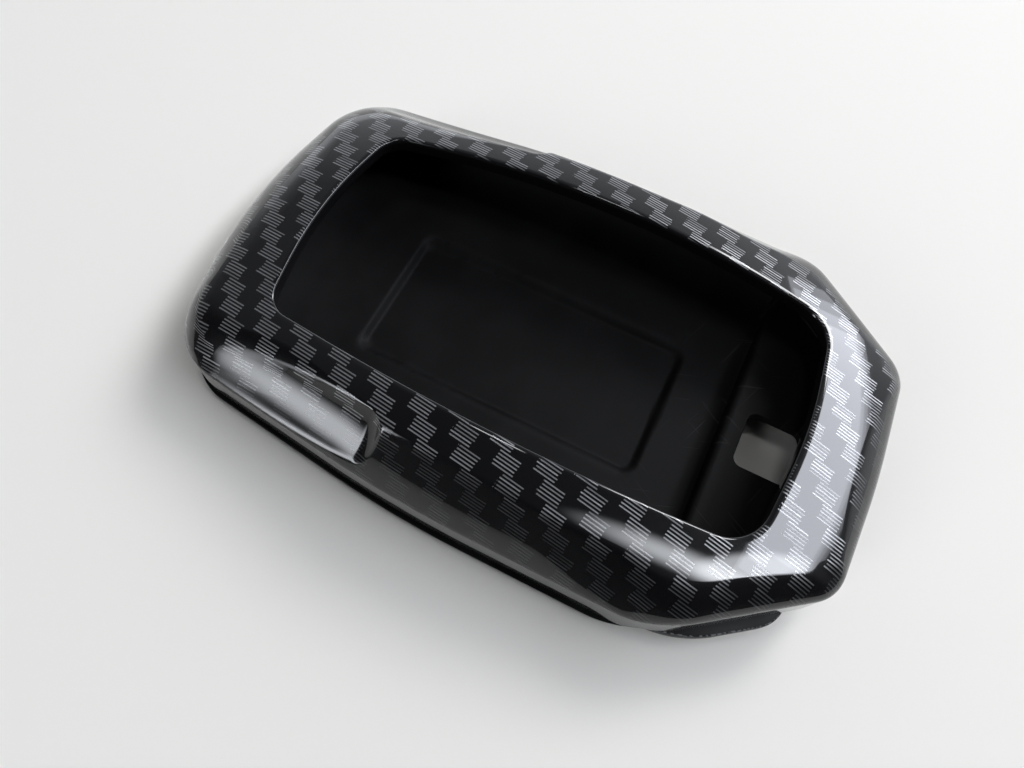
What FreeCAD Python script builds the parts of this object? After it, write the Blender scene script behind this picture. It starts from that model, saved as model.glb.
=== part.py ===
"""A two-piece hard cover for a car key fob.

A glossy front frame with a large button window is pushed over the wall of a black back tray.
The fob lies in the tray, its buttons show in the window, and its ring leaves through the hole.
Millimetres.  The origin is on the surface that the tray rests on, below the cover's middle.
+X points to the chamfered ring end, the nose.  -X is the rounded end, the heel.  +Z is up.
"""
import FreeCAD, Part
import math
import os

# Outline of the cover where it is widest
length = 79.8
width = 51.0
chamfer_width = 11.35
nose_bow = 0.6
chamfer_length = 16.2
taper_length = 33.4
taper_width = 3.9
heel_bow = 1.8
heel_peak = 0.6
nose_corner_radius = 4.5
shoulder_radius = 14.0
heel_corner_radius = 8.5
nose_arc_share = 0.3
flank_arc_share = 0.3
heel_arc_share = 0.4
least_corner_share = 0.2

# Height and crown of the front frame, and the parabolas that its sides and ends roll over
crown_height = 15.2
crown_drop_along = 4.61
crown_drop_across = 3.78
side_roll = 7.4
side_base_share = 0.217
nose_roll = 15.2
nose_base_share = 0.526
heel_roll = 11.0
heel_base_share = 0.46
roll_top_share = 0.96
roll_steps = 10

# Walls of the front frame
skirt_wall = 1.7
rim_thickness = 1.8
skirt_bottom = 1.8
relief_height = 3.2
relief_setback = 18.6
relief_slope_length = 1.6
window_edge_radius = 0.6

# Button window
window_nose_setback = 9.8
window_heel_setback = 9.8
window_side_setback = 8.3
window_nose_corner_setback = 11.0
window_nose_bow = 1.3
window_heel_corner_setback = 12.0
window_heel_bow = 1.7
window_nose_radius = 4.8
window_heel_radius = 3.2
window_nose_arc_share = 0.37
window_flank_arc_share = 0.78
window_heel_arc_share = 0.55

# Finger scallops, each cut by a spindle that lies along the tapered side
scallop_radius = 4.8
scallop_wall = 1.4
scallop_axis_drop = 2.0
scallop_axis_offset = 0.5
scallop_axis_rise = 1.7
scallop_start = 5.9
scallop_run_in = 12.0
scallop_full_length = 9.0
scallop_run_out = 2.5
scallop_heel_fade = 1.9
scallop_nose_fade = 1.0

# Back tray
fit_clearance = 0.25
seam = 0.2
tray_wall = 1.2
wall_steps = 3
side_lip_overhang = 0.45
heel_lip_inset = 0.4
base_rest_inset = 7.0
base_steps = 6
nose_lip_inset = 1.0
corner_tab_inset = 3.0
corner_tab_reach = 1.1
corner_tab_underside = 0.7
corner_tab_roll = 0.8
floor_thickness = 1.5
floor_edge_share = 0.255
bowl_steps = 8

# Features of the tray's floor
panel_nose_setback = 24.4
panel_heel_setback = 18.9
panel_width = 18.0
panel_depth = 0.4
panel_radius = 1.5
platform_setback = 17.1
platform_height = 4.5
platform_thickness = 1.2
platform_radius = 0.8
hole_setback = 11.4
hole_length = 6.6
hole_width = 7.2
hole_radius = 1.1
recess_width = 15.0
recess_setback = 15.5
recess_radius = 2.0
ring_gap_width = 10.0

# Overrun of every cutting tool
overrun = 2.0

# Radii, widths and heights that follow from the values above
crown_radius_along = (length ** 2 / 4 + crown_drop_along ** 2) / (2 * crown_drop_along)
crown_radius_across = (width ** 2 / 4 + crown_drop_across ** 2) / (2 * crown_drop_across)
nose_width = width - 2 * chamfer_width
heel_width = width - 2 * taper_width
side_roll_base = side_base_share * crown_height
nose_roll_base = nose_base_share * crown_height
heel_roll_base = heel_base_share * crown_height
scallop_axis_height = crown_height - scallop_axis_drop
tray_wall_height = scallop_axis_height - scallop_axis_rise - scallop_radius - scallop_wall
window_nose = length / 2 - window_nose_setback
window_heel = window_heel_setback - length / 2
window_half_width = width / 2 - window_side_setback
floor_edge_inset = floor_edge_share * width


def point(x, y, z):
    """A vector from its three coordinates."""
    return FreeCAD.Vector(x, y, z)


def rounded_wire(corners, z):
    """A closed wire at height z through (x, y, radius) corners, each rounded by its radius."""
    count = len(corners)
    arcs = []
    for index, (x, y, radius) in enumerate(corners):
        here = point(x, y, z)
        before = corners[index - 1]
        after = corners[(index + 1) % count]
        back = (point(before[0], before[1], z) - here).normalize()
        ahead = (point(after[0], after[1], z) - here).normalize()
        half_angle = back.getAngle(ahead) / 2
        tangent = radius / math.tan(half_angle)
        inward = (back + ahead).normalize()
        middle = here + inward * (radius / math.sin(half_angle) - radius)
        arcs.append((here + back * tangent, middle, here + ahead * tangent))
    edges = []
    for index, (start, middle, stop) in enumerate(arcs):
        edges.append(Part.Arc(start, middle, stop).toShape())
        edges.append(Part.LineSegment(stop, arcs[(index + 1) % count][0]).toShape())
    return Part.Wire(edges)


def arc_radius(before, here, after, share):
    """The radius that bends two neighbouring sides over a share of the shorter one."""
    back = point(before[0] - here[0], before[1] - here[1], 0)
    ahead = point(after[0] - here[0], after[1] - here[1], 0)
    reach = share * min(back.Length, ahead.Length)
    return reach * math.tan(back.getAngle(ahead) / 2)


def mirrored(half):
    """All corners of an outline from its half at y >= 0, which starts and ends on the X axis."""
    other = [(x, -y, radius) for x, y, radius in reversed(half[1:-1])]
    return half + other


def shifted_corner(corner_a, corner_b, corner_c, shift_ab, shift_bc):
    """Where two neighbouring sides meet after each has moved inwards by its own shift."""
    lines = []
    for start, stop, shift in ((corner_a, corner_b, shift_ab), (corner_b, corner_c, shift_bc)):
        run = stop[0] - start[0]
        rise = stop[1] - start[1]
        size = math.hypot(run, rise)
        lines.append((start[0] - rise / size * shift, start[1] + run / size * shift, run, rise))
    (ax, ay, arun, arise), (bx, by, brun, brise) = lines
    along = ((bx - ax) * brise - (by - ay) * brun) / (arun * brise - arise * brun)
    return ax + along * arun, ay + along * arise


def cover_outline(z, side_inset, nose_inset, heel_inset, chamfer_inset):
    """The cover's outline at height z, with its sides, ends and chamfers moved inwards."""
    nose = length / 2
    heel = -length / 2
    corners = [
        (nose - nose_bow, -nose_width / 2),
        (nose, 0.0),
        (nose - nose_bow, nose_width / 2),
        (nose - chamfer_length, width / 2),
        (heel + taper_length, width / 2),
        (heel + heel_bow, heel_width / 2),
        (heel - heel_peak, 0.0),
        (heel + heel_bow, -heel_width / 2),
    ]
    insets = (nose_inset, nose_inset, chamfer_inset, side_inset, side_inset, heel_inset, heel_inset)
    places = []
    for index in range(len(insets) - 1):
        trio = corners[index:index + 3]
        places.append(shifted_corner(trio[0], trio[1], trio[2], insets[index], insets[index + 1]))
    nose_mid, nose_corner, shoulder, flank, heel_corner, heel_mid = places
    below_nose = (nose_corner[0], -nose_corner[1])
    below_heel = (heel_corner[0], -heel_corner[1])
    nose_share = max(least_corner_share, 1 - (nose_inset + chamfer_inset) / width)
    shoulder_share = max(least_corner_share, 1 - (chamfer_inset + side_inset) / width)
    heel_share = max(least_corner_share, 1 - (side_inset + heel_inset) / width)
    half = [
        (*nose_mid, arc_radius(below_nose, nose_mid, nose_corner, nose_arc_share)),
        (*nose_corner, nose_corner_radius * nose_share),
        (*shoulder, shoulder_radius * shoulder_share),
        (*flank, arc_radius(shoulder, flank, heel_corner, flank_arc_share)),
        (*heel_corner, heel_corner_radius * heel_share),
        (*heel_mid, arc_radius(heel_corner, heel_mid, below_heel, heel_arc_share)),
    ]
    return rounded_wire(mirrored(half), z)


def even_outline(z, inset):
    """The cover's outline at height z, moved inwards by the same amount all round."""
    return cover_outline(z, inset, inset, inset, inset)


def prism(wire, height):
    """A solid from a flat closed wire, drawn up by a height."""
    return Part.Face(wire).extrude(point(0, 0, height))


def box_between(x_from, x_to, y_from, y_to, z_from, z_to):
    """A box from its limits along each axis."""
    corner = point(x_from, y_from, z_from)
    return Part.makeBox(x_to - x_from, y_to - y_from, z_to - z_from, corner)


def crown_barrel(apex):
    """A barrel along X whose top has the crown's two curvatures and reaches up to an apex."""
    reach = length / 2 + crown_height
    drop = crown_radius_along - math.sqrt(crown_radius_along ** 2 - reach ** 2)
    axis_height = apex - crown_radius_across
    lowest = axis_height - crown_radius_across
    heel_foot = point(-reach, 0, lowest + drop)
    nose_foot = point(reach, 0, lowest + drop)
    heel_axis = point(-reach, 0, axis_height)
    nose_axis = point(reach, 0, axis_height)
    edges = [
        Part.Arc(heel_foot, point(0, 0, lowest), nose_foot).toShape(),
        Part.LineSegment(nose_foot, nose_axis).toShape(),
        Part.LineSegment(nose_axis, heel_axis).toShape(),
        Part.LineSegment(heel_axis, heel_foot).toShape(),
    ]
    full_turn = 360
    return Part.Face(Part.Wire(edges)).revolve(heel_axis, point(1, 0, 0), full_turn)


def roll_inset(z, base, reach):
    """How far a parabola that stands on its base has leaned inwards at height z."""
    share = max(0.0, (z - base) / (crown_height - base))
    return reach * share ** 2


def rolled_block(bottom, wall):
    """The frame's outer form, or with a wall its hollow, before the crown trims its top."""
    rise = roll_top_share * (crown_height - side_roll_base)
    sections = [even_outline(bottom, wall)]
    for step in range(roll_steps + 1):
        z = side_roll_base + rise * step / roll_steps
        side = wall + roll_inset(z, side_roll_base, side_roll)
        nose = wall + roll_inset(z, nose_roll_base, nose_roll)
        heel = wall + roll_inset(z, heel_roll_base, heel_roll)
        sections.append(cover_outline(z, side, nose, heel, nose))
    return Part.makeLoft(sections, True, True)


def scallop_spindle(growth):
    """The spindle that cuts the scallop on the +Y side, its radius larger by a growth."""
    full = scallop_radius + growth
    first = scallop_start - length / 2
    heel_top = first + scallop_run_in
    nose_top = heel_top + scallop_full_length
    last = nose_top + scallop_run_out
    heel_arc_radius = (scallop_run_in ** 2 + scallop_heel_fade ** 2) / (2 * scallop_heel_fade)
    nose_arc_radius = (scallop_run_out ** 2 + scallop_nose_fade ** 2) / (2 * scallop_nose_fade)
    heel_middle = scallop_run_in / 2
    nose_middle = scallop_run_out / 2
    heel_sag = heel_arc_radius - math.sqrt(heel_arc_radius ** 2 - heel_middle ** 2)
    nose_sag = nose_arc_radius - math.sqrt(nose_arc_radius ** 2 - nose_middle ** 2)
    heel_end = point(first, 0, full - scallop_heel_fade)
    heel_full = point(heel_top, 0, full)
    nose_full = point(nose_top, 0, full)
    nose_end = point(last, 0, full - scallop_nose_fade)
    heel_axis = point(first, 0, 0)
    nose_axis = point(last, 0, 0)
    heel_half = point(heel_top - heel_middle, 0, full - heel_sag)
    nose_half = point(nose_top + nose_middle, 0, full - nose_sag)
    edges = [
        Part.LineSegment(heel_axis, heel_end).toShape(),
        Part.Arc(heel_end, heel_half, heel_full).toShape(),
        Part.LineSegment(heel_full, nose_full).toShape(),
        Part.Arc(nose_full, nose_half, nose_end).toShape(),
        Part.LineSegment(nose_end, nose_axis).toShape(),
        Part.LineSegment(nose_axis, heel_axis).toShape(),
    ]
    full_turn = 360
    spindle = Part.Face(Part.Wire(edges)).revolve(point(0, 0, 0), point(1, 0, 0), full_turn)
    taper_rise = width / 2 - heel_width / 2
    taper_angle = math.degrees(math.atan2(taper_rise, taper_length - heel_bow))
    pitch = math.degrees(math.atan2(scallop_axis_rise, last - first))
    bend = taper_length - length / 2
    spindle.translate(point(-bend, 0, 0))
    spindle.rotate(point(0, 0, 0), point(0, 1, 0), -pitch)
    spindle.rotate(point(0, 0, 0), point(0, 0, 1), taper_angle)
    spindle.translate(point(bend, width / 2 + scallop_axis_offset, scallop_axis_height))
    return spindle


def both_sides(solid):
    """A solid and its mirror image across the XZ plane."""
    return [solid, solid.mirror(point(0, 0, 0), point(0, 1, 0))]


def window_prism():
    """The tool that cuts the button window through the crown."""
    nose_mid = (window_nose, 0.0)
    nose_corner = (window_nose - window_nose_bow, width / 2 - window_nose_corner_setback)
    flank = ((window_nose + window_heel) / 2, window_half_width)
    heel_corner = (window_heel + window_heel_bow, width / 2 - window_heel_corner_setback)
    heel_mid = (window_heel, 0.0)
    below_nose = (nose_corner[0], -nose_corner[1])
    below_heel = (heel_corner[0], -heel_corner[1])
    half = [
        (*nose_mid, arc_radius(below_nose, nose_mid, nose_corner, window_nose_arc_share)),
        (*nose_corner, window_nose_radius),
        (*flank, arc_radius(nose_corner, flank, heel_corner, window_flank_arc_share)),
        (*heel_corner, window_heel_radius),
        (*heel_mid, arc_radius(heel_corner, heel_mid, below_heel, window_heel_arc_share)),
    ]
    return prism(rounded_wire(mirrored(half), side_roll_base), crown_height)


def skirt_relief():
    """The tool that lifts the skirt's lower edge round the nose, over the tray's corners."""
    relief_start = length / 2 - relief_setback
    reach = length / 2 + overrun
    half_span = width / 2 + overrun
    outline = [
        point(relief_start, -half_span, -overrun),
        point(relief_start, -half_span, skirt_bottom),
        point(relief_start + relief_slope_length, -half_span, relief_height),
        point(reach, -half_span, relief_height),
        point(reach, -half_span, -overrun),
    ]
    return Part.Face(Part.makePolygon(outline + outline[:1])).extrude(point(0, 2 * half_span, 0))


def window_edges(frame):
    """The edges where the button window breaks through the crown."""
    found = []
    for edge in frame.Edges:
        inside = abs(edge.CenterOfMass.y) < window_half_width
        near = window_heel < edge.CenterOfMass.x < window_nose
        z = edge.CenterOfMass.z
        drop_along = edge.CenterOfMass.x ** 2 / (2 * crown_radius_along)
        drop_across = edge.CenterOfMass.y ** 2 / (2 * crown_radius_across)
        above = z > crown_height - drop_along - drop_across - rim_thickness / 2
        if inside and near and above:
            found.append(edge)
    return found


def front_frame():
    """The glossy frame with its window, scallops and skirt."""
    crown = crown_barrel(crown_height).cut(window_prism())
    crown = crown.makeFillet(window_edge_radius, window_edges(crown))
    block = rolled_block(skirt_bottom, 0.0).common(crown)
    hollow = rolled_block(skirt_bottom - overrun, skirt_wall)
    hollow = hollow.common(crown_barrel(crown_height - rim_thickness))
    hollow = hollow.cut(both_sides(scallop_spindle(scallop_wall)))
    return block.cut(both_sides(scallop_spindle(0.0))).cut([hollow, skirt_relief()])


def dish_sections(bottom, top, rims, reach, steps):
    """Outlines of a dish that curves out and up by a quarter ellipse, from its floor to its rim."""
    side_rim, nose_rim, heel_rim = rims
    sections = []
    for step in range(steps + 1):
        angle = math.pi / 2 * step / steps
        z = bottom + (top - bottom) * (1 - math.cos(angle))
        lean = reach * (1 - math.sin(angle))
        nose = nose_rim + lean
        sections.append(cover_outline(z, side_rim + lean, nose, heel_rim + lean, nose))
    return sections


def tray_base():
    """The tray's shallow dish, flat where it rests, out to the lip under the skirt."""
    rims = (-side_lip_overhang, nose_lip_inset, heel_lip_inset)
    sections = dish_sections(0.0, skirt_bottom - seam, rims, base_rest_inset, base_steps)
    return Part.makeLoft(sections, True, True)


def corner_tabs():
    """The rounded tabs that stand out under the relieved skirt at both chamfers."""
    heights = (corner_tab_underside, corner_tab_underside + corner_tab_roll, relief_height - seam)
    sections = []
    for z, lean in zip(heights, (corner_tab_roll, 0.0, 0.0)):
        nose = corner_tab_inset + lean
        sections.append(cover_outline(z, nose_lip_inset + lean, nose, nose, lean - corner_tab_reach))
    tabs = Part.makeLoft(sections, True, True)
    start = length / 2 - relief_setback + relief_slope_length
    return tabs.common(box_between(start, length, -width, width, 0, crown_height))


def tray_bowl():
    """The hollow that the fob lies in, flat in the middle and curved up to the tray's wall."""
    inner = skirt_wall + fit_clearance + tray_wall
    side = inner + roll_inset(tray_wall_height, side_roll_base, side_roll)
    rims = (side, inner, inner)
    sections = dish_sections(floor_thickness, tray_wall_height, rims, floor_edge_inset, bowl_steps)
    sections.append(cover_outline(tray_wall_height + overrun, side, inner, inner, inner))
    return Part.makeLoft(sections, True, True)


def tray_wall_block():
    """The tray's outer form above its base, which leans in with the frame's sides."""
    outer = skirt_wall + fit_clearance
    rise = tray_wall_height - side_roll_base
    sections = [even_outline(floor_thickness / 2, outer)]
    for step in range(wall_steps + 1):
        z = side_roll_base + rise * step / wall_steps
        side = outer + roll_inset(z, side_roll_base, side_roll)
        sections.append(cover_outline(z, side, outer, outer, outer))
    return Part.makeLoft(sections, True, True)


def rounded_block(x_from, x_to, across, radius, z_from, z_to):
    """A block centred on the XZ plane with rounded upright edges."""
    half = across / 2
    corners = [
        (x_to, -half, radius),
        (x_to, half, radius),
        (x_from, half, radius),
        (x_from, -half, radius),
    ]
    return prism(rounded_wire(corners, z_from), z_to - z_from)


def end_platform():
    """The raised end of the floor, which carries the square hole."""
    wall_middle = skirt_wall + fit_clearance + tray_wall / 2
    core = prism(even_outline(floor_thickness / 2, wall_middle), platform_height)
    platform_start = length / 2 - platform_setback
    riser_top = point(platform_start, -width, platform_height - platform_radius)
    edge_start = point(platform_start + platform_radius, -width, platform_height)
    lean = platform_radius * (1 - math.sqrt(0.5))
    edge_middle = point(platform_start + lean, -width, platform_height - lean)
    nose_top = point(length, -width, platform_height)
    nose_foot = point(length, -width, 0)
    riser_foot = point(platform_start, -width, 0)
    edges = [
        Part.LineSegment(riser_foot, riser_top).toShape(),
        Part.Arc(riser_top, edge_middle, edge_start).toShape(),
        Part.LineSegment(edge_start, nose_top).toShape(),
        Part.LineSegment(nose_top, nose_foot).toShape(),
        Part.LineSegment(nose_foot, riser_foot).toShape(),
    ]
    return core.common(Part.Face(Part.Wire(edges)).extrude(point(0, 2 * width, 0)))


def ring_recess():
    """The hollow under the platform where the ring lies, open at the nose."""
    under = platform_height - platform_thickness
    wall_face = length / 2 - skirt_wall - fit_clearance - tray_wall
    recess_start = length / 2 - recess_setback
    hollow = rounded_block(recess_start, wall_face, recess_width, recess_radius, -overrun, under)
    half_gap = ring_gap_width / 2
    gap = box_between(wall_face - overrun, length, -half_gap, half_gap, -overrun, relief_height - seam)
    return [hollow, gap]


def back_tray():
    """The black tray with its wall, floor, end platform and square hole."""
    tray = tray_base().fuse([corner_tabs(), tray_wall_block()]).cut(tray_bowl())
    tray = tray.fuse(end_platform()).removeSplitter()
    panel_end = length / 2 - panel_nose_setback
    panel_start = panel_heel_setback - length / 2
    panel_floor = floor_thickness - panel_depth
    panel = rounded_block(panel_start, panel_end, panel_width, panel_radius, panel_floor, platform_height)
    hole_start = length / 2 - hole_setback - hole_length / 2
    hole_end = hole_start + hole_length
    hole = rounded_block(hole_start, hole_end, hole_width, hole_radius, -overrun, crown_height)
    return tray.cut([panel, hole] + ring_recess())


def main():
    """Build both pieces and write them."""
    os.makedirs("parts", exist_ok=True)
    pieces = {"front_frame": front_frame(), "back_tray": back_tray()}
    for name, shape in pieces.items():
        solid = shape.Solids[0]
        print(name, len(shape.Solids), solid.isValid(), round(solid.Volume, 1), solid.BoundBox)
        solid.exportStep("parts/" + name + ".step")


main()
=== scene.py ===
"""The dressed model of a two-piece hard cover for a car key fob.

A glossy carbon-look front frame sits on a black back tray.  Sizes are in millimetres in the
classes and become metres in the meshes.  +X is the chamfered ring end, the nose.  -X is the
rounded end, the heel.  +Z is up through the button window.
"""
import logging
import math
from dataclasses import dataclass, field
from enum import Enum

import bmesh
import bpy
import numpy as np
from mathutils import Matrix, Vector


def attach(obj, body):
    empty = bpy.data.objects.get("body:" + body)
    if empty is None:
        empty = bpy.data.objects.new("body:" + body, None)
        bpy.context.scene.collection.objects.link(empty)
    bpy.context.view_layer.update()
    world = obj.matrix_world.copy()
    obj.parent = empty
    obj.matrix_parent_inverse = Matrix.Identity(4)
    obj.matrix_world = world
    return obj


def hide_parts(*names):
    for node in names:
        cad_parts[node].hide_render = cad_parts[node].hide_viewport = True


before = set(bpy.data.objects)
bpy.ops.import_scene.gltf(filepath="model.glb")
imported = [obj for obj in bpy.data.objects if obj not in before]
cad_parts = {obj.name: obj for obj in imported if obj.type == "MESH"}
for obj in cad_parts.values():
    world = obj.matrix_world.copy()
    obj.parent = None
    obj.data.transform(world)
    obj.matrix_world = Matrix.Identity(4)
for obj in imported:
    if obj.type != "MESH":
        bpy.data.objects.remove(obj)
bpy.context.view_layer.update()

MM = 0.001
log = logging.getLogger("key_fob_cover")


class Body(Enum):
    """The bodies that the pieces ride on."""

    TRAY = "tray"
    FRAME = "frame"


class Slot(Enum):
    """The record's material slots."""

    CARBON_GLOSS = "carbon_gloss"
    TRAY_BLACK = "tray_black"


@dataclass(frozen=True)
class Term:
    """A number in a node tree that Python's operators turn into math nodes."""

    tree: bpy.types.NodeTree
    socket: bpy.types.NodeSocket

    def made(self, operation: str, *values: "Term | float") -> "Term":
        """Add a math node.

        Args:
            operation: The node's operation.
            values: Its operands, terms or plain numbers.

        Returns:
            The node's result.
        """
        node = self.tree.nodes.new("ShaderNodeMath")
        node.operation = operation
        for place, value in zip(node.inputs, values):
            if isinstance(value, Term):
                self.tree.links.new(value.socket, place)
            else:
                place.default_value = value
        return Term(self.tree, node.outputs[0])

    def __add__(self, other: "Term | float") -> "Term":
        """The sum of both."""
        return self.made("ADD", self, other)

    def __radd__(self, other: float) -> "Term":
        """The sum of both."""
        return self.made("ADD", other, self)

    def __sub__(self, other: "Term | float") -> "Term":
        """This less the other."""
        return self.made("SUBTRACT", self, other)

    def __rsub__(self, other: float) -> "Term":
        """The other less this."""
        return self.made("SUBTRACT", other, self)

    def __mul__(self, other: "Term | float") -> "Term":
        """The product of both."""
        return self.made("MULTIPLY", self, other)

    def __truediv__(self, other: "Term | float") -> "Term":
        """This divided by the other."""
        return self.made("DIVIDE", self, other)

    def least(self, other: "Term | float") -> "Term":
        """The lesser of both."""
        return self.made("MINIMUM", self, other)

    def most(self, other: "Term | float") -> "Term":
        """The greater of both."""
        return self.made("MAXIMUM", self, other)

    def above(self, other: "Term | float") -> "Term":
        """One where this is greater, and otherwise zero."""
        return self.made("GREATER_THAN", self, other)

    def raised(self, other: "Term | float") -> "Term":
        """This raised to a power."""
        return self.made("POWER", self, other)

    def root(self) -> "Term":
        """The square root."""
        return self.made("SQRT", self)

    def floor(self) -> "Term":
        """The whole number below."""
        return self.made("FLOOR", self)

    def fraction(self) -> "Term":
        """What is left above the whole number below."""
        return self.made("FRACT", self)

    def size(self) -> "Term":
        """The value without its sign."""
        return self.made("ABSOLUTE", self)

    def sign(self) -> "Term":
        """One, zero or minus one."""
        return self.made("SIGN", self)

    def cosine(self) -> "Term":
        """The cosine of an angle in radians."""
        return self.made("COSINE", self)

    def sine(self) -> "Term":
        """The sine of an angle in radians."""
        return self.made("SINE", self)

    def soft_most(self, other: "Term | float", distance: "Term | float") -> "Term":
        """The greater of both, rounded over a distance."""
        return self.made("SMOOTH_MAX", self, other, distance)

    def ramp(self, start: float, stop: float) -> "Term":
        """A smooth step from zero at start to one at stop."""
        node = self.tree.nodes.new("ShaderNodeMapRange")
        node.interpolation_type = "SMOOTHSTEP"
        self.tree.links.new(self.socket, node.inputs["Value"])
        node.inputs["From Min"].default_value = start
        node.inputs["From Max"].default_value = stop
        return Term(self.tree, node.outputs["Result"])


def between(low: Term, high: Term, share: Term) -> Term:
    """A value a share of the way from low to high."""
    return low + (high - low) * share


def parted(tree: bpy.types.NodeTree, vector: bpy.types.NodeSocket) -> tuple[Term, Term, Term]:
    """The three numbers of a vector."""
    node = tree.nodes.new("ShaderNodeSeparateXYZ")
    tree.links.new(vector, node.inputs[0])
    return tuple(Term(tree, out) for out in node.outputs)


def joined(x: Term, y: Term, z: Term | float) -> bpy.types.NodeSocket:
    """A vector from its three numbers."""
    node = x.tree.nodes.new("ShaderNodeCombineXYZ")
    for place, value in zip(node.inputs, (x, y, z)):
        if isinstance(value, Term):
            x.tree.links.new(value.socket, place)
        else:
            place.default_value = value
    return node.outputs[0]


def lone_object(name: str, mesh: bpy.types.Mesh) -> bpy.types.Object:
    """A new object in the scene's collection."""
    made = bpy.data.objects.new(name, mesh)
    bpy.context.scene.collection.objects.link(made)
    return made


def share_of(values: np.ndarray, low: float, high: float) -> np.ndarray:
    """How far values have come from low to high, from zero to one."""
    return np.clip((values - low) / (high - low), 0, 1)


def eased(share: np.ndarray) -> np.ndarray:
    """A share that starts and stops gently."""
    return share * share * (3 - 2 * share)


@dataclass(frozen=True)
class RoundedOutline:
    """A closed convex outline of straight sides and round corners, mirrored across the X axis.

    Its half at y >= 0 is a list of (x, y, radius) corners that starts and ends on the X axis.
    """

    half: tuple[tuple[float, float, float], ...]

    def corners(self) -> list[tuple[float, float, float]]:
        """All corners, in turn."""
        other = [(x, -y, radius) for x, y, radius in reversed(self.half[1:-1])]
        return list(self.half) + other

    def reach(self, start: np.ndarray, heading: np.ndarray) -> np.ndarray:
        """How far rays from the X axis run before they meet the outline.

        Args:
            start: Each ray's x on the axis.
            heading: Each ray's unit direction, two columns.

        Returns:
            Each ray's length.
        """
        corners = self.corners()
        origin = np.stack([start, np.zeros_like(start)], axis=1)
        found = np.zeros_like(start)
        arcs = []
        for index, (x, y, radius) in enumerate(corners):
            here = np.array([x, y])
            back = np.array(corners[index - 1][:2]) - here
            ahead = np.array(corners[(index + 1) % len(corners)][:2]) - here
            back = back / np.linalg.norm(back)
            ahead = ahead / np.linalg.norm(ahead)
            half_angle = math.acos(float(back @ ahead)) / 2
            inward = (back + ahead) / np.linalg.norm(back + ahead)
            tangent = radius / math.tan(half_angle)
            centre = here + inward * radius / math.sin(half_angle)
            offset = origin - centre
            middle = np.sum(offset * heading, axis=1)
            under_root = middle ** 2 - np.sum(offset ** 2, axis=1) + radius ** 2
            distance = -middle + np.sqrt(np.maximum(under_root, 0))
            swing = -(offset + heading * distance[:, None]) @ inward
            on_arc = (under_root >= 0) & (swing >= radius * math.sin(half_angle) - 1e-6)
            found = np.where(on_arc, np.maximum(found, distance), found)
            arcs.append((here + back * tangent, here + ahead * tangent))
        for index, (_, leave) in enumerate(arcs):
            enter = arcs[(index + 1) % len(arcs)][0]
            run = enter - leave
            cross = heading[:, 0] * run[1] - heading[:, 1] * run[0]
            safe = np.where(np.abs(cross) < 1e-12, 1e-12, cross)
            gap = leave - origin
            distance = (gap[:, 0] * run[1] - gap[:, 1] * run[0]) / safe
            along = (gap[:, 0] * heading[:, 1] - gap[:, 1] * heading[:, 0]) / safe
            on_side = (along >= -1e-6) & (along <= 1 + 1e-6) & (distance > 0)
            found = np.where(on_side, np.maximum(found, distance), found)
        return found


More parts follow.
